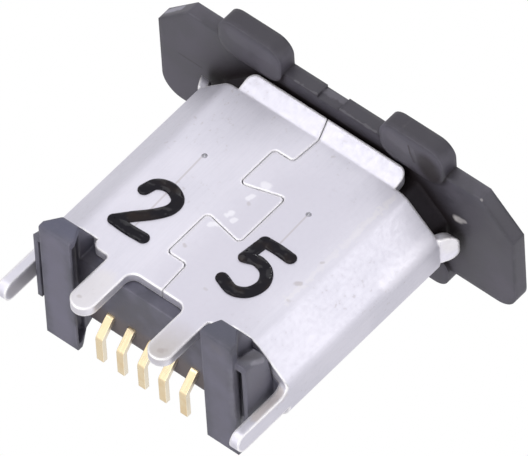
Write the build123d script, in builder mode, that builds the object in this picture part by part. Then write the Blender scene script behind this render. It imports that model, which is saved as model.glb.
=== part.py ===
from build123d import *
import os

# Upright micro USB socket for a circuit board, in millimetres.
# The origin lies on the board between the two feet, +Z is the way the plug comes out,
# and the seam of the folded shell faces -Y.
os.makedirs("parts", exist_ok=True)

# Sheet metal shell, a closed ring with two cut corners
SHELL_WIDTH = 7.5
SHELL_DEPTH = 2.34
SHEET = 0.27
CORNER_CUT_X = 1.03
CORNER_CUT_Y = 1.0
CUT_RADIUS = 0.5
BACK_RADIUS = 0.6
REAR_EDGE_Z = 1.05
MOUTH_Z = 6.56

# Apron and board fingers on the seam side
APRON_SHOULDER = 0.535
APRON_DROP = 0.22
APRON_CORNER = 0.18
FINGER_WIDTH = 0.69
FINGER_SPACING = 2.4
FINGER_NOTCH_RADIUS = 0.25
FINGER_ROOT_RADIUS = 0.12
LEG_REACH = 0.81

# Board legs on the side walls
LEG_WIDTH = 0.56
LEG_Y = 0.31
LEG_ROOT_RADIUS = 0.3

# Flared lips round the mouth
LIP_HEIGHT = 0.52
LIP_FLARE = 0.17
LIP_WIDTH = 4.84
LIP_CORNER = 0.25
EAR_HEIGHT = 0.44
EAR_FLARE = 0.24
EAR_WIDTH = 0.83
EAR_Y = 0.215
EAR_CORNER = 0.28

# Jigsaw seam, as the places where its line turns
SEAM_GAP = 0.03
SEAM_RADIUS = 0.12
SEAM_APRON = 0.11
SEAM_MIDDLE = 0.04
SEAM_NECK = 0.01
SEAM_MOUTH = 0.07
SEAM_TIP = -0.16
SEAM_LEFT = -0.57
SEAM_RIGHT = 0.6
SEAM_TURNS_Z = [1.79, 3.15, 4.58, 5.69]
SEAM_SLOPES = [0.0, -0.22, -0.35, 0.0]

# Windows for the plug's latches, in the back wall
WINDOW_WIDTH = 1.1
WINDOW_HEIGHT = 1.3
WINDOW_SPACING = 4.3
WINDOW_BELOW_MOUTH = 2.4

# Moulded housing
HOUSING_CLEARANCE = 0.02
SEAT_Z = 0.5
SEAT_WIDTH = 6.36
SEAT_CORNER = 0.25
BLOCK_TOP_Z = 2.3
TONGUE_WIDTH = 3.8
TONGUE_THICKNESS = 0.6
TONGUE_Y = -0.15
TONGUE_RECESS = 0.46
TONGUE_BEVEL = 0.15

# Two feet that stand on the board, each a rail whose top rises to the shell
FOOT_INNER = 2.02
FOOT_OUTER = 2.97
FOOT_LENGTH = 4.06
FOOT_FRONT_HEIGHT = 0.56
FOOT_FRONT_RUN = 0.86
FOOT_BACK_HEIGHT = 0.27
FOOT_BACK_RUN = 0.53
FOOT_BEVEL_RUN = 0.28
FOOT_BEVEL_RISE = 0.38
FOOT_INNER_BEVEL_RUN = 0.19
FOOT_CORNER = 0.06
GROOVE_DEPTH = 0.3
GROOVE_LOW_Z = 0.07
GROOVE_HIGH_Z = 0.5
GROOVE_END_GAP = 0.22

# Skirt outside each rail, with a slot between the two
SKIRT_INNER = 2.88
SKIRT_OUTER = 3.28
SKIRT_WALL = 0.13
SKIRT_LOW_Z = 0.115
SKIRT_FRONT_LOW_Y = -1.42
SKIRT_FRONT_TOP_Z = 0.87
SKIRT_FRONT_LEAN = 0.28
SKIRT_FRONT_WALL = 0.24
SKIRT_SHOULDER_Y = 0.1
SKIRT_BACK_Y = 0.95
SKIRT_EDGE = 0.1

# Contacts
CONTACT_COUNT = 5
CONTACT_PITCH = 0.65
CONTACT_THICKNESS = 0.14
TAIL_WIDTH = 0.21
BLADE_WIDTH = 0.34
BLADE_PROUD = 0.02
BLADE_TIP_GAP = 0.4
JOG_TOP_Z = 1.9
JOG_LOW_Z = 1.2
TAIL_EXIT_Y = 0.62
TAIL_BEND_Z = 0.47
FOOT_KNEE_Y = 1.03
FOOT_END_Y = 1.805
CONTACT_BEND = 0.12

# Pick-up cap in the mouth
CAP_LENGTH = 11.0
CAP_DEPTH = 3.58
CAP_STANDOFF = 0.65
CAP_THICKNESS = 0.4
CAP_CORNER_CUT = 0.97
CAP_CORNER_RADIUS = 0.6
CAP_TAB_WIDTH = 1.95
CAP_TAB_SPACING = 5.0
CAP_TAB_REACH = 0.8
CAP_BACK_TAB_REACH = 0.65
CAP_TAB_OVERLAP = 0.4
CAP_TAB_PROUD = 0.1
CAP_TAB_RADIUS = 0.45
CAP_NECK_CLEARANCE = 0.03
CAP_NECK_WALL = 0.3
CAP_NECK_DEPTH = 0.9
GATE_X = -0.16
GATE_WIDTH = 0.68
GATE_DEPTH = 0.08

# Tolerance for picking out edges and corners
TINY = 0.001

half_width = SHELL_WIDTH / 2
half_depth = SHELL_DEPTH / 2
inner_half_depth = half_depth - SHEET
apron_z = REAR_EDGE_Z - APRON_DROP
foot_end_y = FOOT_LENGTH / 2
finger_outer_x = (FINGER_SPACING + FINGER_WIDTH) / 2
apron_width = 2 * (finger_outer_x + APRON_SHOULDER)
groove_z = (GROOVE_LOW_Z + GROOVE_HIGH_Z) / 2
tongue_tip_z = MOUTH_Z - TONGUE_RECESS
cap_plate_z = MOUTH_Z + CAP_STANDOFF


def section(inset):
    """Outline of the shell seen along Z, drawn in by inset."""
    with BuildSketch() as outline:
        with BuildLine():
            Polyline(
                (-half_width, half_depth),
                (half_width, half_depth),
                (half_width, -half_depth + CORNER_CUT_Y),
                (half_width - CORNER_CUT_X, -half_depth),
                (-half_width + CORNER_CUT_X, -half_depth),
                (-half_width, -half_depth + CORNER_CUT_Y),
                close=True,
            )
        make_face()
        fillet(outline.vertices().group_by(Axis.Y)[-1], BACK_RADIUS)
        fillet(outline.vertices().filter_by(lambda v: v.Y < 0), CUT_RADIUS)
        if inset:
            offset(amount=-inset, kind=Kind.INTERSECTION, mode=Mode.REPLACE)
    return outline.sketch


shell_outside = section(0)
shell_inside = section(SHEET)


def flared_lip(reach, flare):
    """Side view of a lip that leans outwards. The sketch's first axis points out of the shell."""
    with BuildSketch() as profile:
        with BuildLine():
            Polyline(
                (0, 0),
                (flare, reach),
                (flare - SHEET, reach),
                (-SHEET, 0),
                close=True,
            )
        make_face()
    return profile.sketch


# Folded shell with its seam, lips, windows, fingers and legs
with BuildPart() as shell:
    with BuildSketch(Plane.XY.offset(REAR_EDGE_Z)):
        add(shell_outside)
        add(shell_inside, mode=Mode.SUBTRACT)
    extrude(amount=MOUTH_Z - REAR_EDGE_Z)

    # Apron with two round-ended fingers
    with BuildSketch(Plane.XZ.offset(half_depth)) as apron:
        with Locations((0, (apron_z + REAR_EDGE_Z) / 2)):
            Rectangle(apron_width, APRON_DROP)
        fillet(apron.vertices().group_by(Axis.Y)[0], APRON_CORNER)
        with Locations((-FINGER_SPACING / 2, 0), (FINGER_SPACING / 2, 0)):
            with Locations((0, (apron_z - LEG_REACH + FINGER_WIDTH / 2) / 2)):
                Rectangle(FINGER_WIDTH, apron_z + LEG_REACH - FINGER_WIDTH / 2)
            with Locations((0, -LEG_REACH + FINGER_WIDTH / 2)):
                Circle(FINGER_WIDTH / 2)
        inner_corners = apron.vertices().filter_by(
            lambda v: abs(v.Y - apron_z) < TINY and abs(v.X) < FINGER_SPACING / 2
        )
        fillet(inner_corners, FINGER_NOTCH_RADIUS)
        outer_corners = apron.vertices().filter_by(
            lambda v: abs(v.Y - apron_z) < TINY and abs(abs(v.X) - finger_outer_x) < TINY
        )
        fillet(outer_corners, FINGER_ROOT_RADIUS)
    extrude(amount=-SHEET)

    # One leg on each side wall, with a broad root towards the seam side
    leg_front_y = LEG_Y - LEG_WIDTH / 2
    with BuildSketch(Plane.YZ.offset(half_width)) as leg:
        with Locations((LEG_Y, (REAR_EDGE_Z - LEG_REACH + LEG_WIDTH / 2) / 2)):
            Rectangle(LEG_WIDTH, REAR_EDGE_Z + LEG_REACH - LEG_WIDTH / 2)
        with Locations((LEG_Y, -LEG_REACH + LEG_WIDTH / 2)):
            Circle(LEG_WIDTH / 2)
        with Locations((leg_front_y - LEG_ROOT_RADIUS / 2, REAR_EDGE_Z - LEG_ROOT_RADIUS / 2)):
            Rectangle(LEG_ROOT_RADIUS, LEG_ROOT_RADIUS)
        with Locations((leg_front_y - LEG_ROOT_RADIUS, REAR_EDGE_Z - LEG_ROOT_RADIUS)):
            Circle(LEG_ROOT_RADIUS, mode=Mode.SUBTRACT)
    leg_solid = extrude(amount=-SHEET)
    mirror(leg_solid, about=Plane.YZ)

    # Lips on the two wide sides, then on the two side walls
    for side in (-1, 1):
        lip_plane = Plane(origin=(0, side * half_depth, MOUTH_Z), x_dir=(0, side, 0), z_dir=(side, 0, 0))
        with BuildSketch(lip_plane):
            add(flared_lip(LIP_HEIGHT, LIP_FLARE))
        extrude(amount=LIP_WIDTH / 2, both=True)
        ear_plane = Plane(
            origin=(side * half_width, EAR_Y, MOUTH_Z), x_dir=(side, 0, 0), z_dir=(0, -side, 0)
        )
        with BuildSketch(ear_plane):
            add(flared_lip(EAR_HEIGHT, EAR_FLARE))
        extrude(amount=EAR_WIDTH / 2, both=True)
    lip_top = MOUTH_Z + LIP_HEIGHT
    short_edges = shell.edges().filter_by(lambda e: e.length < SHEET * 1.5)
    fillet(short_edges.filter_by(lambda e: abs(e.center().Z - lip_top) < TINY), LIP_CORNER)
    ear_top = MOUTH_Z + EAR_HEIGHT
    short_edges = shell.edges().filter_by(lambda e: e.length < SHEET * 1.5)
    fillet(short_edges.filter_by(lambda e: abs(e.center().Z - ear_top) < TINY), EAR_CORNER)

    # Windows for the latches
    with BuildSketch(Plane.XZ.offset(-half_depth)) as windows:
        with Locations((0, MOUTH_Z - WINDOW_BELOW_MOUTH)):
            with GridLocations(WINDOW_SPACING, 0, 2, 1):
                RectangleRounded(WINDOW_WIDTH, WINDOW_HEIGHT, SEAM_RADIUS)
    extrude(amount=SHEET, both=True, mode=Mode.SUBTRACT)

    # Jigsaw seam
    with BuildSketch(Plane.XZ.offset(half_depth)) as seam:
        with BuildLine():
            corners = [(SEAM_APRON, apron_z - SHEET)]
            columns = [SEAM_MIDDLE, SEAM_LEFT, SEAM_RIGHT, SEAM_LEFT, SEAM_NECK]
            for turn, z in enumerate(SEAM_TURNS_Z):
                corners.append((columns[turn], z - SEAM_SLOPES[turn] / 2))
                corners.append((columns[turn + 1], z + SEAM_SLOPES[turn] / 2))
            corners.append((SEAM_MOUTH, MOUTH_Z))
            corners.append((SEAM_TIP, lip_top + SHEET))
            FilletPolyline(*corners, radius=SEAM_RADIUS)
        trace(line_width=SEAM_GAP)
    extrude(amount=SHEET * 2, both=True, mode=Mode.SUBTRACT)
shell.part.label = "shell"
export_step(shell.part, "parts/shell.step")


# Gold plated contacts, side by side along X
tongue_face_y = TONGUE_Y + TONGUE_THICKNESS / 2
blade_y = tongue_face_y + BLADE_PROUD - CONTACT_THICKNESS / 2
contact_rest_z = CONTACT_THICKNESS / 2
contacts = []
for number in range(CONTACT_COUNT):
    contact_x = (number - (CONTACT_COUNT - 1) / 2) * CONTACT_PITCH
    with BuildPart() as contact:
        with BuildSketch(Plane.YZ.offset(contact_x)):
            with BuildLine():
                FilletPolyline(
                    (blade_y, JOG_TOP_Z + CONTACT_THICKNESS),
                    (blade_y, JOG_TOP_Z),
                    (TAIL_EXIT_Y, JOG_LOW_Z),
                    (TAIL_EXIT_Y, TAIL_BEND_Z),
                    (FOOT_KNEE_Y, contact_rest_z),
                    (FOOT_END_Y, contact_rest_z),
                    radius=CONTACT_BEND,
                )
            trace(line_width=CONTACT_THICKNESS)
        extrude(amount=TAIL_WIDTH / 2, both=True)
        with BuildSketch(Plane.YZ.offset(contact_x)):
            with BuildLine():
                Line((blade_y, JOG_TOP_Z), (blade_y, tongue_tip_z - BLADE_TIP_GAP))
            trace(line_width=CONTACT_THICKNESS)
        extrude(amount=BLADE_WIDTH / 2, both=True)
    contact.part.label = f"contact_{number + 1}"
    contacts.append(contact.part)
    export_step(contact.part, f"parts/contact_{number + 1}.step")


# One foot: the rail is its cross section cut to its side view, and the skirt stands outside it
slot_width = SKIRT_OUTER - SKIRT_WALL - SKIRT_INNER
slot_front_y = SKIRT_FRONT_LOW_Y + SKIRT_FRONT_WALL
with BuildPart() as foot:
    with BuildSketch(Plane.XZ):
        with BuildLine():
            Polyline(
                (FOOT_INNER, 0),
                (FOOT_OUTER, 0),
                (FOOT_OUTER, FOOT_FRONT_HEIGHT - FOOT_BEVEL_RISE),
                (FOOT_OUTER - FOOT_BEVEL_RUN, FOOT_FRONT_HEIGHT),
                (FOOT_OUTER - FOOT_BEVEL_RUN, REAR_EDGE_Z),
                (FOOT_INNER + FOOT_INNER_BEVEL_RUN, REAR_EDGE_Z),
                (FOOT_INNER + FOOT_INNER_BEVEL_RUN, FOOT_FRONT_HEIGHT),
                (FOOT_INNER, FOOT_FRONT_HEIGHT - FOOT_BEVEL_RISE),
                close=True,
            )
        make_face()
    extrude(amount=foot_end_y, both=True)
    with BuildSketch(Plane.YZ.offset(FOOT_INNER)) as side_view:
        with BuildLine():
            Polyline(
                (-foot_end_y, 0),
                (foot_end_y, 0),
                (foot_end_y, FOOT_BACK_HEIGHT),
                (foot_end_y - FOOT_BACK_RUN, REAR_EDGE_Z),
                (-foot_end_y + FOOT_FRONT_RUN, REAR_EDGE_Z),
                (-foot_end_y, FOOT_FRONT_HEIGHT),
                close=True,
            )
        make_face()
        fillet(side_view.vertices().filter_by(lambda v: v.Z < FOOT_FRONT_HEIGHT + TINY), FOOT_CORNER)
    extrude(amount=FOOT_OUTER - FOOT_INNER, mode=Mode.INTERSECT)
    with BuildSketch(Plane.XZ.offset(foot_end_y - GROOVE_END_GAP)):
        with Locations((FOOT_INNER, groove_z)):
            Rectangle(2 * GROOVE_DEPTH, GROOVE_HIGH_Z - GROOVE_LOW_Z)
    extrude(amount=-(FOOT_LENGTH - 2 * GROOVE_END_GAP), mode=Mode.SUBTRACT)

with BuildPart() as skirt:
    with BuildSketch(Plane.YZ.offset(SKIRT_INNER)):
        with BuildLine():
            Polyline(
                (SKIRT_FRONT_LOW_Y, SKIRT_LOW_Z),
                (SKIRT_BACK_Y, SKIRT_LOW_Z),
                (SKIRT_BACK_Y, REAR_EDGE_Z),
                (SKIRT_SHOULDER_Y, REAR_EDGE_Z),
                (SKIRT_FRONT_LOW_Y + SKIRT_FRONT_LEAN, SKIRT_FRONT_TOP_Z),
                close=True,
            )
        make_face()
    extrude(amount=SKIRT_OUTER - SKIRT_INNER)
    front_edge = skirt.edges().filter_by(
        lambda e: abs(e.center().X - SKIRT_OUTER) < TINY and e.center().Y < slot_front_y
    )
    fillet(front_edge, SKIRT_EDGE)
    with BuildSketch(Plane.XY.offset(SKIRT_LOW_Z)):
        with Locations((SKIRT_INNER + slot_width / 2, (slot_front_y + SKIRT_BACK_Y) / 2)):
            Rectangle(slot_width, SKIRT_BACK_Y - slot_front_y)
    extrude(amount=SEAT_Z - SKIRT_LOW_Z, mode=Mode.SUBTRACT)


# Black housing: block in the shell, tongue, seat below the shell and two feet
with BuildPart() as housing:
    with BuildSketch(Plane.XY.offset(REAR_EDGE_Z)):
        add(section(SHEET + HOUSING_CLEARANCE))
    extrude(amount=BLOCK_TOP_Z - REAR_EDGE_Z)

    # Seat: its back runs out under the shell's back wall
    seat_front = -inner_half_depth + HOUSING_CLEARANCE
    with BuildSketch(Plane.XY.offset(SEAT_Z)) as seat:
        with Locations((0, (seat_front + half_depth) / 2)):
            Rectangle(SEAT_WIDTH, half_depth - seat_front)
        chamfer(seat.vertices().group_by(Axis.Y)[0], SEAT_CORNER)
    extrude(amount=REAR_EDGE_Z - SEAT_Z)

    # Tongue
    with BuildSketch(Plane.XY.offset(BLOCK_TOP_Z)):
        with Locations((0, TONGUE_Y)):
            Rectangle(TONGUE_WIDTH, TONGUE_THICKNESS)
    tongue = extrude(amount=tongue_tip_z - BLOCK_TOP_Z)
    chamfer(tongue.faces().sort_by(Axis.Z)[-1].edges(), TONGUE_BEVEL)

    # Feet and skirts
    for piece in (foot.part, skirt.part):
        add(piece)
        mirror(piece, about=Plane.YZ)

    # Channels that the contacts fill
    for contact_part in contacts:
        add(contact_part, mode=Mode.SUBTRACT)

housing.part.label = "housing"
export_step(housing.part, "parts/housing.step")


# Pick-up cap: plate with two wings, four tabs and a hollow neck that plugs the mouth
neck_outside = section(SHEET + CAP_NECK_CLEARANCE)
neck_inside = section(SHEET + CAP_NECK_CLEARANCE + CAP_NECK_WALL)
with BuildPart() as cap:
    with BuildSketch(Plane.XY.offset(cap_plate_z)) as plate:
        Rectangle(CAP_LENGTH, CAP_DEPTH)
        chamfer(plate.vertices().group_by(Axis.Y)[0], CAP_CORNER_CUT)
        fillet(plate.vertices().group_by(Axis.Y)[-1], CAP_CORNER_RADIUS)
    extrude(amount=CAP_THICKNESS)
    with BuildSketch(Plane.XY.offset(cap_plate_z - CAP_TAB_PROUD)):
        for side, reach in ((-1, CAP_TAB_REACH), (1, CAP_BACK_TAB_REACH)):
            with Locations((0, side * (CAP_DEPTH + reach - CAP_TAB_OVERLAP) / 2)):
                with GridLocations(CAP_TAB_SPACING, 0, 2, 1):
                    RectangleRounded(CAP_TAB_WIDTH, reach + CAP_TAB_OVERLAP, CAP_TAB_RADIUS)
    extrude(amount=CAP_THICKNESS + CAP_TAB_PROUD)
    with BuildSketch(Plane.XY.offset(MOUTH_Z - CAP_NECK_DEPTH)):
        add(neck_outside)
        add(neck_inside, mode=Mode.SUBTRACT)
    extrude(until=Until.NEXT)

    # Shallow notch in the plate's edge, where the moulding gate was torn off
    with BuildSketch(Plane.XY.offset(cap_plate_z)):
        with Locations((GATE_X, -CAP_DEPTH / 2)):
            Rectangle(GATE_WIDTH, 2 * GATE_DEPTH)
    extrude(amount=CAP_THICKNESS, mode=Mode.SUBTRACT)

cap.part.label = "pick_up_cap"
export_step(cap.part, "parts/pick_up_cap.step")
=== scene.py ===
"""Looks of the upright micro USB socket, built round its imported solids.

Sizes and places are in millimetres in the socket's own frame, and colours are linear red, green and blue.
"""

import logging
import math
from dataclasses import dataclass
from enum import Enum

import bpy
import numpy as np
from mathutils import Matrix, Vector


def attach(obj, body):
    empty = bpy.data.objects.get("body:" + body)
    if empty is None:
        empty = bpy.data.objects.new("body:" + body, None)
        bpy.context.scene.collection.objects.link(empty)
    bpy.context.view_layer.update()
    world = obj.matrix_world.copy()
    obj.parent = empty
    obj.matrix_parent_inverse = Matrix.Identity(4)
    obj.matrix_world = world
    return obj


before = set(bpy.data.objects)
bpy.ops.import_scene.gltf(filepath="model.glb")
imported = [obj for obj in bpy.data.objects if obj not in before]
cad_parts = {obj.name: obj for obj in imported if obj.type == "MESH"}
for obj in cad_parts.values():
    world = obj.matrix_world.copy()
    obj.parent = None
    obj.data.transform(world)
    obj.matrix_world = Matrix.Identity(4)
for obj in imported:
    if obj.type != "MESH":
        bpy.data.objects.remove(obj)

log = logging.getLogger("socket_scene")

Place = tuple[float, float, float]
Colour = tuple[float, float, float]
Stroke = tuple[tuple[float, float], ...]
NodeSocket = bpy.types.NodeSocket

MM = 0.001

# Faces that carry marks, each by its place along the axis that ends its name.
FACE_Y = -1.17
LEG_EDGE_Y = 0.03
LEG_INSIDE_X = -3.48
FOOT_SOLE_Z = 0.0
FOOT_END_Y = -2.03
FOOT_SIDE_X = 2.97
FOOT_SHOULDER_X = 2.69
SEAT_Z = 0.5
SKIRT_SIDE_X = 3.28
TAB_Y = -2.59
TAB_Z = 7.11
PLATE_Y = -1.79
PLATE_Z = 7.21
NOTCH_Y = -1.71


class Side(Enum):
    """Which half of the seam face a thing sits on, as the sign of its X."""

    LEFT = -1
    RIGHT = 1


class Tint(Enum):
    """Colours of the stains, rubs and chips, and of painted shade, light, highlights and reflections."""

    STAIN = (0.40, 0.36, 0.35)
    GLINT = (0.97, 0.965, 0.985)
    BEIGE = (0.84, 0.81, 0.76)
    TAN = (0.58, 0.51, 0.46)
    LEFT_FINGER = (0.70, 0.67, 0.64)
    RIGHT_FINGER = (0.47, 0.44, 0.42)
    RIGHT_EAR = (0.68, 0.66, 0.64)
    # Painted highlight along the right chamfer.
    CHAMFER_HIGHLIGHT = (0.82, 0.80, 0.86)
    # Painted shade on the right half of the seam face.
    SEAM_SHADE = (0.585, 0.570, 0.635)
    COOL_SEAM_SHADE = (0.60, 0.59, 0.655)
    LEG_EDGE = (0.55, 0.55, 0.60)
    # Painted shade on the inside of the left leg.
    LEG_INSIDE_SHADE = (0.42, 0.40, 0.40)
    # Painted light on the soles of the feet.
    LEFT_SOLE_LIGHT = (0.160, 0.150, 0.205)
    RIGHT_SOLE_LIGHT = (0.160, 0.150, 0.200)
    # Painted light on the right foot's outer side, in its slot.
    FOOT_SIDE_LIGHT = (0.20, 0.19, 0.225)
    # Painted reflection of the gold contacts on the seat behind them.
    SEAT_GOLD_REFLECTION = (0.118, 0.090, 0.082)
    BROWN_SCUFF = (0.15, 0.13, 0.12)
    GREY_SCUFF = (0.17, 0.16, 0.17)
    # Painted light on the right skirt's side.
    SKIRT_SIDE_LIGHT = (0.17, 0.165, 0.20)
    # Painted highlight on the right skirt's front edge.
    SKIRT_EDGE_HIGHLIGHT = (0.30, 0.29, 0.33)
    # Painted shade on the right skirt's front.
    SKIRT_FRONT_SHADE = (0.048, 0.044, 0.056)
    # Painted shade in the pocket beside the left foot.
    POCKET_SHADE = (0.048, 0.043, 0.056)
    # Painted shade on the ends of the feet.
    LEFT_END_SHADE = (0.084, 0.087, 0.135)
    RIGHT_END_SHADE = (0.062, 0.064, 0.092)
    # Painted light on the wall above the right foot's bevel.
    FOOT_SHOULDER_LIGHT = (0.18, 0.175, 0.215)
    CHIP = (0.60, 0.57, 0.56)
    # Painted shade in hollows and a painted shadow under the right tab; also the colour of dark scratches.
    SHADE_AND_SCRATCH = (0.016, 0.012, 0.013)
    # Painted shade on the tabs' sides.
    TAB_SIDE_SHADE = (0.030, 0.027, 0.036)
    # Painted light on the tabs' undersides.
    LEFT_TAB_LIGHT = (0.100, 0.095, 0.115)
    RIGHT_TAB_LIGHT = (0.105, 0.097, 0.115)
    # Painted shade on the plate's side and on the right wing.
    PLATE_SIDE_SHADE = (0.034, 0.031, 0.041)
    WING_SHADE = (0.040, 0.037, 0.046)
    NOTCH_RUB = (0.17, 0.16, 0.19)
    RIM_RUB = (0.20, 0.19, 0.21)
    # Painted highlight on the left wing's bevelled edge.
    WING_HIGHLIGHT = (0.36, 0.35, 0.42)


@dataclass(frozen=True)
class Ramp:
    """A smooth climb: a value from low to high turns into a result from start to end."""

    low: float
    high: float
    start: float = 0.0
    end: float = 1.0


@dataclass(frozen=True)
class Waves:
    """A noise field: its waves per millimetre, before any stretch, and its octaves."""

    density: float
    detail: float = 3.0


@dataclass(frozen=True)
class Streak:
    """A mark of stain, scuff or chip, or of painted shade, light, highlight or reflection: colour on
    everything nearer than its width to the line between two points.
    """

    start: Place
    end: Place
    width: float
    strength: float
    colour: Tint
    ragged: float = 0.09


class NodeSheet:
    """The node tree of a material or of the surround, with short calls to add and join nodes."""

    edge_rays: int = 6
    hollow_rays: int = 8
    hollowness: Ramp = Ramp(0.25, 0.95, 1.0, 0.0)
    rim_waves: Waves = Waves(7.0)
    streak_core: float = 0.35

    def __init__(self, owner: bpy.types.Material | bpy.types.World) -> None:
        """Starts with an empty tree.

        Args:
            owner: What the tree belongs to.
        """
        owner.use_nodes = True
        self.owner = owner
        self.tree = owner.node_tree
        self.tree.nodes.clear()
        self.output = self.add("OutputWorld" if isinstance(owner, bpy.types.World) else "OutputMaterial")

    @classmethod
    def material(cls, name: str) -> "NodeSheet":
        """Starts a new material of the given name."""
        return cls(bpy.data.materials.new(name))

    def add(self, kind: str, **settings: object) -> bpy.types.Node:
        """Adds a node and sets its properties.

        Args:
            kind: The node's type without the ShaderNode prefix.
            settings: Property names and values of the node.

        Returns:
            The new node.
        """
        node = self.tree.nodes.new("ShaderNode" + kind)
        for key, value in settings.items():
            setattr(node, key, value)
        return node

    def join(self, source: NodeSocket, target: NodeSocket) -> None:
        """Links one socket to another."""
        self.tree.links.new(source, target)

    def millimetres(self, stretch: tuple[float, float, float] = (1.0, 1.0, 1.0)) -> NodeSocket:
        """Gives the object's own coordinates in millimetres.

        Args:
            stretch: Factors along X, Y and Z on top of the change of unit.

        Returns:
            The vector socket.
        """
        coordinates = self.add("TexCoord")
        mapping = self.add("Mapping")
        mapping.inputs["Scale"].default_value = [factor / MM for factor in stretch]
        self.join(coordinates.outputs["Object"], mapping.inputs["Vector"])
        return mapping.outputs["Vector"]

    def noise(self, vector: NodeSocket, waves: Waves) -> NodeSocket:
        """Adds a noise field.

        Args:
            vector: The coordinates it reads.
            waves: How fine it is.

        Returns:
            The noise value, about 0.5 in the middle.
        """
        node = self.add("TexNoise")
        node.inputs["Scale"].default_value = waves.density
        node.inputs["Detail"].default_value = waves.detail
        self.join(vector, node.inputs["Vector"])
        return node.outputs["Fac"]

    def spread(self, value: NodeSocket, ramp: Ramp) -> NodeSocket:
        """Turns a value into another along a ramp, level beyond both of its ends.

        Args:
            value: The socket to turn.
            ramp: From what to what.

        Returns:
            The new value.
        """
        node = self.add("MapRange", interpolation_type="SMOOTHSTEP")
        names = ("From Min", "From Max", "To Min", "To Max")
        for name, number in zip(names, (ramp.low, ramp.high, ramp.start, ramp.end)):
            node.inputs[name].default_value = number
        self.join(value, node.inputs["Value"])
        return node.outputs["Result"]

    def math(self, operation: str, first: NodeSocket | float, second: NodeSocket | float = 0.0) -> NodeSocket:
        """Adds a math node on sockets or numbers.

        Args:
            operation: The math node's operation.
            first: A socket or a number.
            second: A socket or a number.

        Returns:
            The result.
        """
        node = self.add("Math", operation=operation)
        for slot, value in zip(node.inputs, (first, second)):
            if isinstance(value, NodeSocket):
                self.join(value, slot)
            else:
                slot.default_value = value
        return node.outputs["Value"]

    def blend(self, factor: NodeSocket, under: NodeSocket | Colour, over: NodeSocket | Colour) -> NodeSocket:
        """Mixes two colours by a factor.

        Args:
            factor: Share of the second colour.
            under: The first colour.
            over: The second colour.

        Returns:
            The mixed colour.
        """
        node = self.add("Mix", data_type="RGBA")
        self.join(factor, node.inputs["Factor"])
        colour_slots = [slot for slot in node.inputs if slot.type == "RGBA"]
        for slot, value in zip(colour_slots, (under, over)):
            if isinstance(value, NodeSocket):
                self.join(value, slot)
            else:
                slot.default_value = (*value, 1.0)
        return next(slot for slot in node.outputs if slot.type == "RGBA")

    def rounded(self, radius: float) -> NodeSocket:
        """Gives the normal that turns softly round edges.

        Args:
            radius: The edges' radius.

        Returns:
            The normal.
        """
        node = self.add("Bevel", samples=self.edge_rays)
        node.inputs["Radius"].default_value = radius * MM
        return node.outputs["Normal"]

    def edge_nearness(self, radius: float, turn: Ramp) -> NodeSocket:
        """How near a point is to an edge: one less the cosine between the flat and the rounded normal.

        Args:
            radius: How wide the strip along edges is.
            turn: Where the strip starts and where it is full.

        Returns:
            A value from 0 on flats to 1 on edges.
        """
        geometry = self.add("NewGeometry")
        cosine = self.add("VectorMath", operation="DOT_PRODUCT")
        self.join(self.rounded(radius), cosine.inputs[0])
        self.join(geometry.outputs["True Normal"], cosine.inputs[1])
        return self.spread(self.math("SUBTRACT", 1.0, cosine.outputs["Value"]), turn)

    def recess(self, reach: float) -> NodeSocket:
        """How deep in a corner or slot a point sits.

        Args:
            reach: How far away walls still count.

        Returns:
            A value from 0 in the open to 1 in a narrow slot.
        """
        node = self.add("AmbientOcclusion", samples=self.hollow_rays)
        node.inputs["Distance"].default_value = reach * MM
        return self.spread(node.outputs["AO"], self.hollowness)

    def distance_to_line(self, plain: NodeSocket, mark: Streak) -> NodeSocket:
        """How far a point is from a streak's line.

        The nearest place on the line is start + t (end - start), where t is the point's run along the line
        over the line's length, kept between 0 and 1.

        Args:
            plain: Coordinates in millimetres.
            mark: The streak.

        Returns:
            The distance.
        """
        start, along = Vector(mark.start), Vector(mark.end) - Vector(mark.start)
        offset = self.add("VectorMath", operation="SUBTRACT")
        self.join(plain, offset.inputs[0])
        offset.inputs[1].default_value = start
        run = self.add("VectorMath", operation="DOT_PRODUCT")
        self.join(offset.outputs["Vector"], run.inputs[0])
        run.inputs[1].default_value = along / along.length_squared
        kept = self.math("MINIMUM", self.math("MAXIMUM", run.outputs["Value"], 0.0), 1.0)
        nearest = self.add("VectorMath", operation="SCALE")
        nearest.inputs[0].default_value = along
        self.join(kept, nearest.inputs["Scale"])
        away = self.add("VectorMath", operation="DISTANCE")
        self.join(offset.outputs["Vector"], away.inputs[0])
        self.join(nearest.outputs["Vector"], away.inputs[1])
        return away.outputs["Value"]

    def marked(self, colour: NodeSocket, plain: NodeSocket, marks: tuple[Streak, ...]) -> NodeSocket:
        """Lays streaks over a colour, one after the other.

        Noise pushes a streak's rim in and out by its raggedness. The colour is full over the core's share of
        the width and fades out from there.

        Args:
            colour: The colour under the streaks.
            plain: Coordinates in millimetres.
            marks: The streaks.

        Returns:
            The colour with the streaks on it.
        """
        rough = self.math("SUBTRACT", self.noise(plain, self.rim_waves), 0.5)
        for mark in marks:
            push = self.math("MULTIPLY", rough, 2.0 * mark.ragged)
            reach = self.math("ADD", self.distance_to_line(plain, mark), push)
            fade = Ramp(self.streak_core * mark.width, mark.width, mark.strength, 0.0)
            colour = self.blend(self.spread(reach, fade), colour, mark.colour.value)
        return colour

    def bump(self, height: NodeSocket, depth: float, normal: NodeSocket | None = None) -> NodeSocket:
        """Adds fine relief.

        Args:
            height: Height field from 0 to 1.
            depth: How deep it is.
            normal: The normal it starts from, if not the surface's own.

        Returns:
            The new normal.
        """
        node = self.add("Bump")
        node.inputs["Distance"].default_value = depth * MM
        self.join(height, node.inputs["Height"])
        if normal is not None:
            self.join(normal, node.inputs["Normal"])
        return node.outputs["Normal"]

    def finish(self, shader: bpy.types.Node) -> bpy.types.Material | bpy.types.World:
        """Joins the shader to the output and returns what the tree belongs to."""
        self.join(shader.outputs[0], self.output.inputs["Surface"])
        return self.owner


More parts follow.
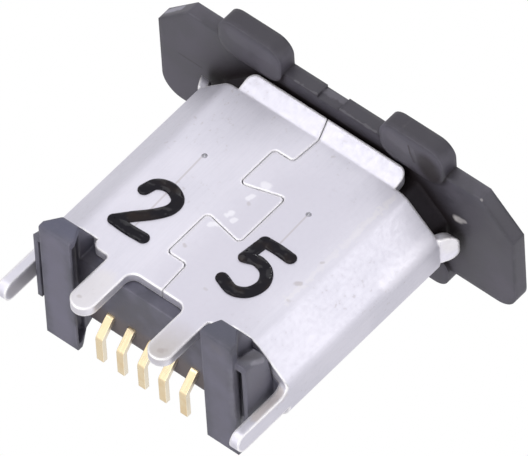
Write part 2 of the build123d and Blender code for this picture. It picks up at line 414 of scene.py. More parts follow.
@dataclass(frozen=True)
class TinPlate:
    """Satin tin plate on folded sheet: rolling grain, cloudy patches, handling marks, painted shade and
    highlights, and pale edges that are partly scuffed and partly painted highlight.
    """

    name: str = "tin_plate"
    light: Colour = (0.675, 0.66, 0.725)
    dull: Colour = (0.61, 0.60, 0.665)
    # Edge colour: partly scuffed metal, partly painted highlight.
    wear_and_highlight: Colour = (0.975, 0.96, 0.955)
    stain: Colour = (0.42, 0.38, 0.36)
    marks: tuple[Streak, ...] = ()
    metal: float = 0.7
    edge_radius: float = 0.09
    edge_band_width: float = 0.12
    edge_band_turn: Ramp = Ramp(0.02, 0.14)
    grain_stretch: tuple[float, float, float] = (9.0, 9.0, 0.6)
    grain: Waves = Waves(2.2, 2.0)
    cloud: Waves = Waves(0.55, 4.0)
    mottle: Waves = Waves(9.0)
    pores: Waves = Waves(32.0, 2.0)
    cloud_share: Ramp = Ramp(0.36, 0.68, 0.0, 0.75)
    grain_share: Ramp = Ramp(0.4, 0.65, 0.0, 0.25)
    speck_share: Ramp = Ramp(0.62, 0.74, 0.0, 0.35)
    speck_place: Ramp = Ramp(0.48, 0.6)
    roughness: Ramp = Ramp(0.3, 0.7, 0.42, 0.52)
    grain_relief: float = 0.5
    relief: float = 0.0006

    def material(self) -> bpy.types.Material:
        """Builds the material.

        Returns:
            The tin.
        """
        sheet = NodeSheet.material(self.name)
        shader = sheet.add("BsdfPrincipled")
        shader.inputs["Metallic"].default_value = self.metal
        plain = sheet.millimetres()
        grain = sheet.noise(sheet.millimetres(self.grain_stretch), self.grain)
        cloud = sheet.noise(plain, self.cloud)
        mottle = sheet.noise(plain, self.mottle)
        dulled = sheet.spread(cloud, self.cloud_share)
        patches = sheet.math("ADD", dulled, sheet.spread(grain, self.grain_share))
        speckled = sheet.spread(mottle, self.speck_share)
        specks = sheet.math("MULTIPLY", speckled, sheet.spread(cloud, self.speck_place))
        colour = sheet.blend(specks, sheet.blend(patches, self.light, self.dull), self.stain)
        colour = sheet.marked(colour, plain, self.marks)
        # Pale edges: partly scuffed metal, partly painted highlight.
        colour = sheet.blend(sheet.edge_nearness(self.edge_band_width, self.edge_band_turn), colour, self.wear_and_highlight)
        sheet.join(colour, shader.inputs["Base Color"])
        sheet.join(sheet.spread(mottle, self.roughness), shader.inputs["Roughness"])
        ridges = sheet.math("MULTIPLY", grain, self.grain_relief)
        height = sheet.math("ADD", ridges, sheet.noise(plain, self.pores))
        normal = sheet.bump(height, self.relief, sheet.rounded(self.edge_radius))
        sheet.join(normal, shader.inputs["Normal"])
        return sheet.finish(shader)


@dataclass(frozen=True)
class MouldedPlastic:
    """Dark glass-filled plastic: fine pits, cloudy gloss, painted shade in slots, pale edges partly scuffed
    and partly painted highlight, small scars.
    """

    name: str
    dark: Colour
    pale: Colour
    # Edge colour: partly scuffed plastic, partly painted highlight.
    rub_and_highlight: Colour
    marks: tuple[Streak, ...] = ()
    # Colour of the painted shade in slots and corners.
    shade_and_scratch: Colour = Tint.SHADE_AND_SCRATCH.value
    hollow_reach: float | None = None
    edge_radius: float = 0.1
    edge_band_width: float = 0.11
    edge_band_turn: Ramp = Ramp(0.02, 0.22)
    edge_band_place: Ramp = Ramp(0.4, 0.62, 0.1, 0.9)
    cloud: Waves = Waves(1.3, 4.0)
    pits: Waves = Waves(26.0, 2.0)
    pale_share: Ramp = Ramp(0.36, 0.68)
    hollow_shine: Ramp = Ramp(0.0, 1.0, 0.5, 0.1)
    roughness: Ramp = Ramp(0.3, 0.7, 0.46, 0.62)
    pit_depth: float = 0.005

    def material(self) -> bpy.types.Material:
        """Builds the material.

        Returns:
            The plastic.
        """
        sheet = NodeSheet.material(self.name)
        shader = sheet.add("BsdfPrincipled")
        plain = sheet.millimetres()
        cloud = sheet.noise(plain, self.cloud)
        pits = sheet.noise(plain, self.pits)
        edges = sheet.edge_nearness(self.edge_band_width, self.edge_band_turn)
        rub_and_highlight_share = sheet.math("MULTIPLY", edges, sheet.spread(cloud, self.edge_band_place))
        colour = sheet.blend(sheet.spread(cloud, self.pale_share), self.dark, self.pale)
        # Pale edges: partly scuffed plastic, partly painted highlight.
        colour = sheet.blend(rub_and_highlight_share, colour, self.rub_and_highlight)
        # Painted shade in slots and corners, found by occlusion, with less shine there.
        if self.hollow_reach:
            hollow = sheet.recess(self.hollow_reach)
            colour = sheet.blend(hollow, colour, self.shade_and_scratch)
            sheet.join(sheet.spread(hollow, self.hollow_shine), shader.inputs["Specular IOR Level"])
        sheet.join(sheet.marked(colour, plain, self.marks), shader.inputs["Base Color"])
        sheet.join(sheet.spread(cloud, self.roughness), shader.inputs["Roughness"])
        normal = sheet.bump(pits, self.pit_depth, sheet.rounded(self.edge_radius))
        sheet.join(normal, shader.inputs["Normal"])
        return sheet.finish(shader)


@dataclass(frozen=True)
class GoldPlate:
    """Thin gold over stamped strip: soft drawing lines, a browner patchwork, and pale sides that are partly
    bare cut metal and partly painted highlight.
    """

    name: str = "gold_plate"
    bright: Colour = (0.84, 0.70, 0.46)
    brown: Colour = (0.76, 0.58, 0.34)
    sheared_and_highlight: Colour = (0.86, 0.79, 0.64)
    edge_radius: float = 0.02
    line_stretch: tuple[float, float, float] = (14.0, 1.0, 1.0)
    lines: Waves = Waves(1.5, 2.0)
    cloud: Waves = Waves(2.6)
    brown_share: Ramp = Ramp(0.42, 0.7, 0.0, 0.6)
    line_share: Ramp = Ramp(0.5, 0.75, 0.0, 0.25)
    side_share: Ramp = Ramp(0.6, 0.9, 0.0, 0.85)
    roughness: Ramp = Ramp(0.3, 0.7, 0.24, 0.40)
    line_depth: float = 0.002

    def material(self) -> bpy.types.Material:
        """Builds the material, pale where the object's own normal points along X: partly bare cut metal,
        partly painted highlight.

        Returns:
            The gold.
        """
        sheet = NodeSheet.material(self.name)
        shader = sheet.add("BsdfPrincipled")
        shader.inputs["Metallic"].default_value = 1.0
        lines = sheet.noise(sheet.millimetres(self.line_stretch), self.lines)
        cloud = sheet.noise(sheet.millimetres(), self.cloud)
        browned = sheet.spread(cloud, self.brown_share)
        share = sheet.math("ADD", browned, sheet.spread(lines, self.line_share))
        facing = sheet.add("SeparateXYZ")
        sheet.join(sheet.add("TexCoord").outputs["Normal"], facing.inputs["Vector"])
        sideways = sheet.spread(sheet.math("ABSOLUTE", facing.outputs["X"]), self.side_share)
        # Pale sides: partly bare cut metal, partly painted highlight.
        colour = sheet.blend(sideways, sheet.blend(share, self.bright, self.brown), self.sheared_and_highlight)
        sheet.join(colour, shader.inputs["Base Color"])
        sheet.join(sheet.spread(cloud, self.roughness), shader.inputs["Roughness"])
        normal = sheet.bump(lines, self.line_depth, sheet.rounded(self.edge_radius))
        sheet.join(normal, shader.inputs["Normal"])
        return sheet.finish(shader)


@dataclass(frozen=True)
class GlossInk:
    """Thick black marking ink: wet gloss, browner where it lies thin."""

    name: str = "marking_ink"
    black: Colour = (0.006, 0.005, 0.009)
    thin: Colour = (0.020, 0.013, 0.011)
    shine: float = 0.16
    flow: Waves = Waves(1.6, 2.0)
    ripples: Waves = Waves(3.0, 1.0)
    thin_share: Ramp = Ramp(0.45, 0.7)
    roughness: Ramp = Ramp(0.3, 0.7, 0.08, 0.2)
    ripple_depth: float = 0.12

    def material(self) -> bpy.types.Material:
        """Builds the material.

        Returns:
            The ink.
        """
        sheet = NodeSheet.material(self.name)
        shader = sheet.add("BsdfPrincipled")
        shader.inputs["Specular IOR Level"].default_value = self.shine
        plain = sheet.millimetres()
        flow = sheet.noise(plain, self.flow)
        colour = sheet.blend(sheet.spread(flow, self.thin_share), self.black, self.thin)
        sheet.join(colour, shader.inputs["Base Color"])
        sheet.join(sheet.spread(flow, self.roughness), shader.inputs["Roughness"])
        sheet.join(sheet.bump(sheet.noise(plain, self.ripples), self.ripple_depth), shader.inputs["Normal"])
        return sheet.finish(shader)


def linked(name: str, mesh: bpy.types.Mesh) -> bpy.types.Object:
    """Makes an object of a mesh and links it to the scene.

    Args:
        name: The object's name.
        mesh: Its mesh.

    Returns:
        The object, at the origin.
    """
    piece = bpy.data.objects.new(name, mesh)
    bpy.context.scene.collection.objects.link(piece)
    return piece


def ring_mesh(name: str, points: np.ndarray) -> bpy.types.Object:
    """Makes a closed piece from a row of rings.

    Face (i, j) joins points (i, j), (i + 1, j), (i + 1, j + 1) and (i, j + 1), and the last point of a ring
    is joined to its first. The first and the last ring are closed with one flat face each.

    Args:
        name: The piece's name.
        points: Array of rings by points by 3, in metres.

    Returns:
        The piece, linked to the scene.
    """
    rings, around = points.shape[:2]
    index = np.arange(rings * around).reshape(rings, around)
    beside = np.roll(index, -1, axis=1)
    quads = np.stack([index[:-1], beside[:-1], beside[1:], index[1:]], axis=-1).reshape(-1, 4)
    faces = [*quads.tolist(), index[0, ::-1].tolist(), index[-1].tolist()]
    mesh = bpy.data.meshes.new(name)
    mesh.from_pydata(points.reshape(-1, 3).tolist(), [], faces)
    mesh.validate()
    mesh.polygons.foreach_set("use_smooth", np.ones(len(mesh.polygons), dtype=bool))
    return linked(name, mesh)


@dataclass
class Numeral:
    """A raised ink numeral on the seam face, drawn as beads along its strokes."""

    name: str
    centre_x: float
    low_z: float
    strokes: tuple[Stroke, ...]
    width: float = 0.33
    rise: float = 0.07
    sink: float = 0.004
    fullness: float = 0.7
    steps: int = 48
    around: int = 16
    end_steps: int = 9
    end_pull: float = 0.999
    least_share: float = 1e-4
    hair: float = 1e-9

    def path(self, stroke: Stroke) -> np.ndarray:
        """Smooth line through a stroke's points.

        Between two points the line is the cubic whose slope at each point is half the difference of that
        point's neighbours. A stroke of two points is the straight line between them. The line ends a hair
        before the last point, which keeps it within the last cubic.

        Args:
            stroke: Its points as (x, z), from the numeral's own lower middle.

        Returns:
            Array of steps by 2.
        """
        knots = np.array(stroke, dtype=float)
        padded = np.vstack([2 * knots[0] - knots[1], knots, 2 * knots[-1] - knots[-2]])
        at = np.linspace(0, len(knots) - 1 - self.hair, self.steps)
        k = at.astype(int)
        t = (at - k)[:, None]
        p0, p1, p2, p3 = padded[k], padded[k + 1], padded[k + 2], padded[k + 3]
        square, cube = 2 * p0 - 5 * p1 + 4 * p2 - p3, 3 * p1 - p0 - 3 * p2 + p3
        return 0.5 * (2 * p1 + (p2 - p0) * t + square * t**2 + cube * t**3)

    def lengthened(self, line: np.ndarray) -> np.ndarray:
        """Makes a line longer by half the stroke's width at each end, so strokes that share a point join up.

        Args:
            line: Its points.

        Returns:
            The points with one more at each end.
        """
        first, last = line[0] - line[1], line[-1] - line[-2]
        half = self.width / 2
        first, last = half * first / np.linalg.norm(first), half * last / np.linalg.norm(last)
        return np.vstack([line[0] + first, line, line[-1] + last])

    def stations(self, total: float) -> np.ndarray:
        """Where the bead's rings stand along the line, closer together at its round ends.

        At both ends the distances are half the width times one less a cosine, drawn in by the end pull.

        Args:
            total: The line's length.

        Returns:
            Distances from the line's start.
        """
        half = self.width / 2
        ends = half * (1 - np.cos(np.linspace(0, math.pi / 2, self.end_steps)))
        middle = np.linspace(half, total - half, self.steps)[1:-1]
        return np.concatenate([ends[1:] * self.end_pull, middle, total - ends[:0:-1] * self.end_pull])

    def bead(self, stroke: Stroke, number: int) -> bpy.types.Object:
        """Carries a flat half-round profile along a stroke.

        Across the stroke a point lies at half the width times the cosine of its angle, and stands off the
        face by the rise times the sine to the power of the fullness. The width shrinks at both ends as a
        quarter circle, and the rise as its square root, so the ends are round.

        Args:
            stroke: The stroke's points.
            number: Its number, for the name.

        Returns:
            The bead.
        """
        half = self.width / 2
        line = self.lengthened(self.path(stroke))
        lengths = np.concatenate([[0], np.cumsum(np.linalg.norm(np.diff(line, axis=0), axis=1))])
        total = lengths[-1]
        stations = self.stations(total)
        x, z = (np.interp(stations, lengths, line[:, i]) for i in (0, 1))
        tangent = np.stack([np.gradient(x, stations), np.gradient(z, stations)], axis=1)
        tangent /= np.linalg.norm(tangent, axis=1, keepdims=True)
        from_end = np.clip(np.minimum(stations, total - stations) / half, 0, 1)
        shrink = np.sqrt(np.clip(1 - (1 - from_end) ** 2, self.least_share, 1))[:, None]
        angle = np.linspace(0, math.pi, self.around)[None, :]
        across = half * np.cos(angle) * shrink
        height = self.rise * np.clip(np.sin(angle), 0, 1) ** self.fullness * np.sqrt(shrink)
        points = np.empty((len(stations), self.around, 3))
        points[..., 0] = self.centre_x + x[:, None] - tangent[:, 1:] * across
        points[..., 1] = FACE_Y + self.sink - height
        points[..., 2] = self.low_z + z[:, None] + tangent[:, :1] * across
        return ring_mesh(f"{self.name}_stroke_{number}", points * MM)

    def build(self, ink: bpy.types.Material) -> None:
        """Builds and dresses every stroke.

        Args:
            ink: The strokes' finish.
        """
        for number, stroke in enumerate(self.strokes, 1):
            piece = self.bead(stroke, number)
            piece.data.materials.append(ink)
            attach(piece, "socket")
            log.info("built %s", piece.name)


@dataclass
class PunchedDot:
    """A tiny round punch mark on the seam face: a pit with a raised rim."""

    side: Side
    off_centre: float
    z: float
    radius: float = 0.075
    rim: float = 0.012
    sink: float = 0.001
    pit_share: float = 0.04
    rings: int = 9
    around: int = 28

    def build(self, tarnish: bpy.types.Material) -> None:
        """Builds and dresses the mark as a surface of revolution.

        At share s of the radius the height is the rim's times the sine of pi times s squared, so it is flat
        in the middle, highest near the rim and back on the face at the edge.

        Args:
            tarnish: The mark's finish.
        """
        share = np.linspace(1.0, self.pit_share, self.rings)[:, None]
        angle = np.linspace(0, 2 * math.pi, self.around, endpoint=False)[None, :]
        points = np.empty((self.rings, self.around, 3))
        points[..., 0] = self.side.value * self.off_centre + self.radius * share * np.cos(angle)
        points[..., 1] = FACE_Y + self.sink - self.rim * np.sin(math.pi * share**2)
        points[..., 2] = self.z + self.radius * share * np.sin(angle)
        piece = ring_mesh(f"punched_dot_{self.side.name.lower()}", points * MM)
        piece.data.materials.append(tarnish)
        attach(piece, "socket")
        log.info("built %s", piece.name)


@dataclass
class SolidFinishes:
    """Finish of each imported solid, where the five contacts share one."""

    shell: bpy.types.Material
    housing: bpy.types.Material
    cap: bpy.types.Material
    contact: bpy.types.Material

    def finish_of(self, name: str) -> bpy.types.Material:
        """Looks up the finish of a solid.

        Args:
            name: The solid's node name.

        Returns:
            Its finish.
        """
        if name.startswith("contact"):
            return self.contact
        return {"shell": self.shell, "housing": self.housing, "pick_up_cap": self.cap}[name]

    def dress(self) -> None:
        """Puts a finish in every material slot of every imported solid."""
        for name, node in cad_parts.items():
            finish = self.finish_of(name)
            if not node.material_slots:
                node.data.materials.append(finish)
            for place in node.material_slots:
                place.material = finish
            log.info("dressed %s", name)


@dataclass(frozen=True)
class Lamp:
    """A soft square lamp: direction from the socket, level it lights a white card to, and edge length."""

    name: str
    towards: Place
    level: float
    edge: float


@dataclass
class Studio:
    """Plain pale floor, soft lamps, white surround and the camera at the photograph's angle."""

    floor_z: float = -0.812
    floor_size: float = 2400.0
    floor_paint: Colour = (0.9, 0.9, 0.91)
    look_at: Place = (0.950, -1.511, 3.546)
    to_camera: Place = (0.4245, -0.7864, -0.4488)
    picture_up: Place = (-0.4896, -0.6163, 0.6168)
    seen_width: float = 12.41
    distance: float = 400.0
    sensor_width: float = 36.0
    clip: tuple[float, float] = (10.0, 10000.0)
    surround: Colour = (0.98, 0.975, 1.0)
    slope: Ramp = Ramp(-0.3, 0.7, 0.89, 1.21)
    brightest: Place = (0.62, -0.72, -0.3)
    glossy_share: Ramp = Ramp(0.0, 1.0, 0.62, 1.0)
    lamp_distance: float = 250.0
    lamps: tuple[Lamp, ...] = (
        Lamp("key", (0.77, -0.43, 0.45), 0.11, 160.0),
        Lamp("front_left", (-0.40, -0.88, -0.28), 0.2, 140.0),
        Lamp("behind_right", (0.61, 0.79, -0.11), 0.1, 160.0),
        Lamp("below", (0.1, -0.35, -0.93), 0.42, 220.0),
        Lamp("top", (-0.4, -0.3, 0.9), 0.23, 220.0),
        Lamp("spark", (-0.14, -0.58, 0.81), 0.04, 12.0),
    )

    def floor(self) -> None:
        """Floor that shows from above and lets everything else through, so the camera may stand below it."""
        half = self.floor_size / 2 * MM
        mesh = bpy.data.meshes.new("floor")
        square = [(-half, -half, 0), (half, -half, 0), (half, half, 0), (-half, half, 0)]
        mesh.from_pydata(square, [], [(0, 1, 2, 3)])
        mesh.transform(Matrix.Translation((0, 0, self.floor_z * MM)))
        piece = linked("floor", mesh)
        sheet = NodeSheet.material("pale_floor")
        paint = sheet.add("BsdfDiffuse")
        paint.inputs["Color"].default_value = (*self.floor_paint, 1)
        clear = sheet.add("BsdfTransparent")
        path, side = sheet.add("LightPath"), sheet.add("NewGeometry")
        front = sheet.math("SUBTRACT", 1.0, side.outputs["Backfacing"])
        mixer = sheet.add("MixShader")
        sheet.join(sheet.math("MULTIPLY", path.outputs["Is Camera Ray"], front), mixer.inputs["Fac"])
        sheet.join(clear.outputs[0], mixer.inputs[1])
        sheet.join(paint.outputs[0], mixer.inputs[2])
        mesh.materials.append(sheet.finish(mixer))
        log.info("laid the floor")

    def world(self) -> None:
        """Surround that is plain white to the camera and to clear rays and a soft slope of light to the rest.

        The slope's level rises along its ramp with the cosine between a direction and the brightest one.
        Rays that don't come from gloss get a share of it.
        """
        sheet = NodeSheet(bpy.data.worlds.new("studio"))
        bpy.context.scene.world = sheet.owner
        white, lit = sheet.add("Background"), sheet.add("Background")
        white.inputs["Color"].default_value = (1, 1, 1, 1)
        lit.inputs["Color"].default_value = (*self.surround, 1)
        cosine = sheet.add("VectorMath", operation="DOT_PRODUCT")
        sheet.join(sheet.add("TexCoord").outputs["Generated"], cosine.inputs[0])
        cosine.inputs[1].default_value = Vector(self.brightest).normalized()
        slope = sheet.spread(cosine.outputs["Value"], self.slope)
        path = sheet.add("LightPath")
        glossy = sheet.spread(path.outputs["Is Glossy Ray"], self.glossy_share)
        sheet.join(sheet.math("MULTIPLY", slope, glossy), lit.inputs["Strength"])
        mixer = sheet.add("MixShader")
        clear = sheet.math("MAXIMUM", path.outputs["Is Camera Ray"], path.outputs["Is Transmission Ray"])
        sheet.join(clear, mixer.inputs["Fac"])
        sheet.join(lit.outputs[0], mixer.inputs[1])
        sheet.join(white.outputs[0], mixer.inputs[2])
        sheet.finish(mixer)

    def hang(self, lamp: Lamp) -> None:
        """Hangs a lamp that looks at the socket.

        A white card that faces it shines at the lamp's level when its power is the level times pi squared
        times the distance squared.

        Args:
            lamp: The lamp.
        """
        light = bpy.data.lights.new(lamp.name, "AREA")
        light.size = lamp.edge * MM
        light.energy = lamp.level * math.pi**2 * (self.lamp_distance * MM) ** 2
        holder = bpy.data.objects.new(lamp.name, light)
        direction = Vector(lamp.towards).normalized()
        holder.location = Vector(self.look_at) * MM + direction * self.lamp_distance * MM
        holder.rotation_mode = "QUATERNION"
        holder.rotation_quaternion = direction.to_track_quat("Z", "Y")
        bpy.context.scene.collection.objects.link(holder)

    def camera(self) -> None:
        """Long-lens camera on the photograph's line of sight, rolled as the photograph is."""
        data = bpy.data.cameras.new("camera")
        data.sensor_width = self.sensor_width
        data.lens = data.sensor_width * self.distance / self.seen_width
        data.clip_start, data.clip_end = (length * MM for length in self.clip)
        camera = bpy.data.objects.new("camera", data)
        back = Vector(self.to_camera).normalized()
        right = Vector(self.picture_up).cross(back).normalized()
        up = back.cross(right)
        turn = Matrix((right, up, back)).transposed().to_4x4()
        camera.matrix_world = Matrix.Translation((Vector(self.look_at) + back * self.distance) * MM) @ turn
        bpy.context.scene.collection.objects.link(camera)
        bpy.context.scene.camera = camera

    def build(self) -> None:
        """Sets the whole stage."""
        self.floor()
        self.world()
        for lamp in self.lamps:
            self.hang(lamp)
        self.camera()
        bpy.context.scene.view_settings.view_transform = "Standard"


# Strokes of the numerals as (x, z), from each numeral's own lower middle.
TWO = (
    (
        (-0.46, 1.16), (-0.34, 1.46), (0.0, 1.58), (0.36, 1.42),
        (0.42, 1.10), (0.2, 0.74), (-0.14, 0.38), (-0.44, 0.04),
    ),
    ((-0.44, 0.04), (0.0, 0.02), (0.46, 0.04)),
)
FIVE = (
    ((0.44, 1.56), (0.02, 1.58), (-0.34, 1.56)),
    ((-0.34, 1.56), (-0.38, 1.24), (-0.42, 0.92)),
    ((-0.42, 0.92), (-0.1, 1.02), (0.26, 0.9), (0.44, 0.56), (0.32, 0.18), (-0.02, 0.0), (-0.44, 0.12)),
)

SHELL_MARKS = (
    # Pale rub along the fold at the seam face's right edge.
    Streak((2.57, FACE_Y, 2.4), (2.57, FACE_Y, 6.35), 0.1, 0.22, Tint.BEIGE, 0.22),
    # Dull fingers.
    Streak((-1.2, FACE_Y, -0.55), (-1.2, FACE_Y, 0.15), 0.5, 0.4, Tint.LEFT_FINGER),
    Streak((1.2, FACE_Y, -0.5), (1.2, FACE_Y, 0.15), 0.5, 0.9, Tint.RIGHT_FINGER),
    # Warmer right ear, and a painted highlight as a brighter strip along the right chamfer.
    Streak((3.87, -0.1, 6.8), (3.87, 0.1, 6.8), 0.35, 0.5, Tint.RIGHT_EAR),
    Streak((3.65, -0.3, 6.3), (3.65, -0.3, 4.8), 0.35, 0.5, Tint.CHAMFER_HIGHLIGHT, 0.1),
    # Painted shade: a greyer right half of the seam face.
    Streak((0.9, FACE_Y, 1.2), (1.1, FACE_Y, 4.7), 1.9, 0.85, Tint.SEAM_SHADE, 0.2),
    Streak((1.9, FACE_Y, 3.4), (1.9, FACE_Y, 4.4), 1.0, 0.35, Tint.COOL_SEAM_SHADE, 0.2),
    # Specks at the fingers' tips.
    Streak((1.21, FACE_Y, -0.56), (1.24, FACE_Y, -0.55), 0.1, 0.7, Tint.STAIN, 0.04),
    Streak((1.29, FACE_Y, -0.47), (1.32, FACE_Y, -0.45), 0.07, 0.4, Tint.STAIN, 0.04),
    Streak((-1.33, FACE_Y, -0.52), (-1.3, FACE_Y, -0.5), 0.07, 0.4, Tint.STAIN, 0.04),
    # Sheared front edges of the legs, and painted shade on the inside of the left leg, which faces the foot.
    Streak((3.6, LEG_EDGE_Y, 0.0), (3.6, LEG_EDGE_Y, 0.9), 0.2, 0.6, Tint.TAN, 0.12),
    Streak((-3.6, LEG_EDGE_Y, 0.0), (-3.6, LEG_EDGE_Y, 0.9), 0.2, 0.35, Tint.LEG_EDGE, 0.12),
    Streak((LEG_INSIDE_X, 0.33, -0.5), (LEG_INSIDE_X, 0.33, 0.4), 0.3, 0.5, Tint.LEG_INSIDE_SHADE, 0.05),
    # Drawn lines that end in the punched dots.
    Streak((-1.65, FACE_Y, 1.6), (-1.77, FACE_Y, 4.5), 0.035, 0.45, Tint.STAIN, 0.0),
    Streak((1.36, FACE_Y, 3.65), (1.32, FACE_Y, 4.68), 0.035, 0.45, Tint.STAIN, 0.0),
    # Specks and glints on the seam face and its right fold.
    Streak((2.45, FACE_Y, 2.95), (2.52, FACE_Y, 3.02), 0.09, 0.5, Tint.STAIN, 0.05),
    Streak((2.6, -1.13, 2.45), (2.66, -1.09, 2.52), 0.08, 0.4, Tint.STAIN, 0.05),
    Streak((2.5, FACE_Y, 3.8), (2.53, FACE_Y, 3.83), 0.06, 0.4, Tint.STAIN, 0.04),
    Streak((0.84, FACE_Y, 1.5), (0.9, FACE_Y, 1.5), 0.05, 0.3, Tint.STAIN, 0.03),
    Streak((-0.39, FACE_Y, 2.2), (-0.34, FACE_Y, 2.17), 0.07, 0.45, Tint.STAIN, 0.04),
    Streak((-0.05, FACE_Y, 4.72), (0.02, FACE_Y, 4.75), 0.15, 0.38, Tint.GLINT, 0.08),
    Streak((-0.1, FACE_Y, 4.2), (-0.06, FACE_Y, 4.3), 0.1, 0.38, Tint.GLINT, 0.08),
    Streak((0.0, FACE_Y, 4.08), (0.03, FACE_Y, 4.06), 0.07, 0.4, Tint.STAIN, 0.03),
    Streak((-0.16, FACE_Y, 3.5), (-0.13, FACE_Y, 3.6), 0.11, 0.38, Tint.GLINT, 0.08),
    Streak((0.03, FACE_Y, 3.45), (0.07, FACE_Y, 3.5), 0.1, 0.38, Tint.GLINT, 0.08),
    Streak((-0.28, FACE_Y, 3.04), (-0.2, FACE_Y, 3.12), 0.12, 0.38, Tint.GLINT, 0.08),
)

HOUSING_MARKS = (
    # Painted light from below: paler soles of the feet.
    Streak((-2.5, -1.6, FOOT_SOLE_Z), (-2.5, 1.7, FOOT_SOLE_Z), 0.5, 0.5, Tint.LEFT_SOLE_LIGHT, 0.12),
    Streak((2.5, -1.6, FOOT_SOLE_Z), (2.5, 1.7, FOOT_SOLE_Z), 0.5, 0.32, Tint.RIGHT_SOLE_LIGHT, 0.12),
    # Painted light on the outer side of the right foot, seen through its slot.
    Streak((FOOT_SIDE_X, -1.1, 0.2), (FOOT_SIDE_X, 0.5, 0.2), 0.3, 0.6, Tint.FOOT_SIDE_LIGHT, 0.05),
    # Painted reflection of the gold contacts: a browner seat behind them.
    Streak((-1.9, 0.9, SEAT_Z), (1.7, 0.9, SEAT_Z), 0.6, 0.5, Tint.SEAT_GOLD_REFLECTION, 0.15),
    # Scuffed bevel of the right foot, painted light on the side of its skirt and a painted highlight on the
    # skirt's front edge.
    Streak((2.5, -1.7, 0.2), (2.9, -1.7, 0.5), 0.3, 0.35, Tint.BROWN_SCUFF, 0.15),
    Streak((SKIRT_SIDE_X, -1.0, 0.5), (SKIRT_SIDE_X, 0.3, 0.5), 0.6, 0.6, Tint.SKIRT_SIDE_LIGHT),
    Streak((3.25, -1.34, 0.42), (3.25, -1.12, 0.74), 0.1, 0.6, Tint.SKIRT_EDGE_HIGHLIGHT, 0.04),
    # Scuffed end of the left foot, and painted shade in the pocket beside it.
    Streak((-2.9, -1.9, 0.2), (-2.2, -1.9, 0.2), 0.2, 0.3, Tint.GREY_SCUFF, 0.15),
    Streak((-2.1, -0.9, 0.55), (-2.1, -0.1, 0.5), 0.42, 0.75, Tint.POCKET_SHADE, 0.05),
    Streak((-2.21, -1.2, 0.55), (-2.21, -0.95, 0.45), 0.3, 0.6, Tint.POCKET_SHADE, 0.05),
    # Painted shade on the ends of the feet.
    Streak((2.1, FOOT_END_Y, 0.3), (2.69, FOOT_END_Y, 0.4), 0.42, 0.7, Tint.RIGHT_END_SHADE, 0.05),
    Streak((-2.8, FOOT_END_Y, 0.3), (-2.2, FOOT_END_Y, 0.4), 0.42, 0.7, Tint.LEFT_END_SHADE, 0.05),
    # Painted shade on the front of the right skirt, and painted light on the wall above the right foot's
    # bevel.
    Streak((2.86, -1.31, 0.4), (3.04, -1.2, 0.7), 0.27, 0.8, Tint.SKIRT_FRONT_SHADE, 0.03),
    Streak((FOOT_SHOULDER_X, -1.5, 0.85), (FOOT_SHOULDER_X, -1.0, 0.6), 0.36, 0.6, Tint.FOOT_SHOULDER_LIGHT, 0.03),
)

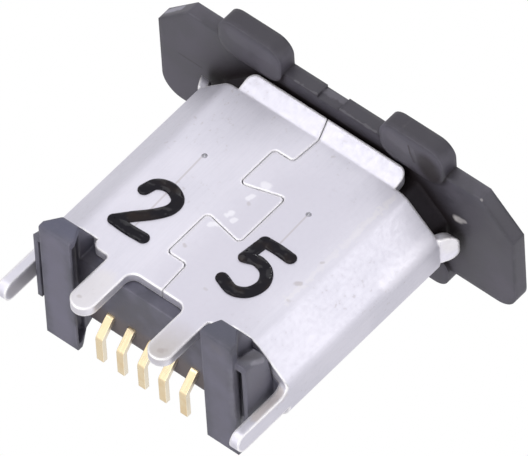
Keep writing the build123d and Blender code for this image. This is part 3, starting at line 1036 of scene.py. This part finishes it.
CAP_MARKS = (
    # Chips on the right wing.
    Streak((3.75, -0.42, PLATE_Z), (3.83, -0.44, PLATE_Z), 0.16, 1.0, Tint.CHIP, 0.05),
    Streak((3.85, -0.46, PLATE_Z), (4.0, -0.51, PLATE_Z), 0.09, 1.0, Tint.CHIP, 0.03),
    Streak((4.56, -1.76, PLATE_Z), (4.58, -1.79, 7.22), 0.055, 0.45, Tint.CHIP, 0.03),
    # Fine scratches on the right tab.
    Streak((2.15, TAB_Y, 7.28), (2.15, TAB_Y, 7.31), 0.05, 0.16, Tint.CHIP, 0.02),
    Streak((2.15, TAB_Y, 7.31), (2.16, TAB_Y, 7.55), 0.035, 0.12, Tint.CHIP, 0.02),
    Streak((2.55, -2.2, TAB_Z), (2.66, -1.86, TAB_Z), 0.05, 0.04, Tint.CHIP, 0.02),
    # Painted shade on the tabs' sides, painted light on their undersides, and painted shade on the plate's
    # side and on the right wing.
    Streak((1.8, TAB_Y, 7.42), (3.2, TAB_Y, 7.42), 0.42, 0.9, Tint.TAB_SIDE_SHADE, 0.05),
    Streak((-3.0, -2.2, TAB_Z), (-2.0, -2.2, TAB_Z), 0.3, 0.4, Tint.LEFT_TAB_LIGHT, 0.1),
    Streak((1.9, -2.2, TAB_Z), (2.3, -2.1, TAB_Z), 0.3, 0.45, Tint.RIGHT_TAB_LIGHT, 0.08),
    Streak((-1.2, NOTCH_Y, 7.42), (1.3, NOTCH_Y, 7.42), 0.5, 0.8, Tint.PLATE_SIDE_SHADE, 0.04),
    Streak((4.3, -0.7, PLATE_Z), (4.9, -0.8, PLATE_Z), 1.0, 0.6, Tint.WING_SHADE, 0.2),
    Streak((-3.2, TAB_Y, 7.42), (-1.8, TAB_Y, 7.42), 0.42, 0.9, Tint.TAB_SIDE_SHADE, 0.05),
    # Painted shadow in a corner under the right tab, and a dark scratch there.
    Streak((2.98, -1.95, TAB_Z), (3.08, -1.74, TAB_Z), 0.5, 0.95, Tint.SHADE_AND_SCRATCH, 0.06),
    Streak((2.42, -2.25, TAB_Z), (2.47, -2.0, TAB_Z), 0.04, 0.9, Tint.SHADE_AND_SCRATCH, 0.0),
    Streak((2.47, -2.0, TAB_Z), (2.57, -1.76, TAB_Z), 0.05, 0.9, Tint.SHADE_AND_SCRATCH, 0.0),
    # Rubs in the gate notch and along the plate's rim, a painted highlight on the left wing's edge, and a
    # scratch on that wing.
    Streak((-0.42, NOTCH_Y, 7.5), (0.12, NOTCH_Y, 7.53), 0.15, 0.4, Tint.NOTCH_RUB, 0.12),
    Streak((-1.18, PLATE_Y, PLATE_Z), (1.3, PLATE_Y, PLATE_Z), 0.05, 0.3, Tint.RIM_RUB, 0.07),
    Streak((-5.42, -0.9, 7.46), (-4.95, -1.37, 7.5), 0.13, 0.6, Tint.WING_HIGHLIGHT, 0.05),
    Streak((-4.92, 0.05, PLATE_Z), (-4.19, 0.05, PLATE_Z), 0.035, 0.5, Tint.SHADE_AND_SCRATCH, 0.01),
)

SHELL_TIN = TinPlate(marks=SHELL_MARKS)
HOUSING_PLASTIC = MouldedPlastic(
    name="housing_plastic",
    dark=(0.066, 0.065, 0.086),
    pale=(0.114, 0.111, 0.145),
    rub_and_highlight=(0.20, 0.19, 0.24),
    marks=HOUSING_MARKS,
)
CAP_PLASTIC = MouldedPlastic(
    name="cap_plastic",
    dark=(0.049, 0.046, 0.059),
    pale=(0.077, 0.071, 0.090),
    rub_and_highlight=(0.12, 0.115, 0.14),
    marks=CAP_MARKS,
    hollow_reach=1.8,
    edge_radius=0.18,
)
DARK_TIN = TinPlate(name="dark_tin", light=(0.36, 0.35, 0.39), dull=(0.26, 0.25, 0.28), wear_and_highlight=(0.5, 0.5, 0.54))


def main() -> None:
    """Builds every piece in order."""
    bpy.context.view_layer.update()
    SolidFinishes(
        shell=SHELL_TIN.material(),
        housing=HOUSING_PLASTIC.material(),
        cap=CAP_PLASTIC.material(),
        contact=GoldPlate().material(),
    ).dress()
    ink = GlossInk().material()
    Numeral("numeral_two", centre_x=-1.73, low_z=1.70, strokes=TWO).build(ink)
    Numeral("numeral_five", centre_x=1.40, low_z=1.87, strokes=FIVE).build(ink)
    tarnish = DARK_TIN.material()
    PunchedDot(Side.LEFT, off_centre=1.74, z=4.52).build(tarnish)
    PunchedDot(Side.RIGHT, off_centre=1.33, z=4.70).build(tarnish)
    Studio().build()
    log.info("sizes written")


if __name__ == "__main__":
    logging.basicConfig(level=logging.INFO, format="%(message)s")
    main()
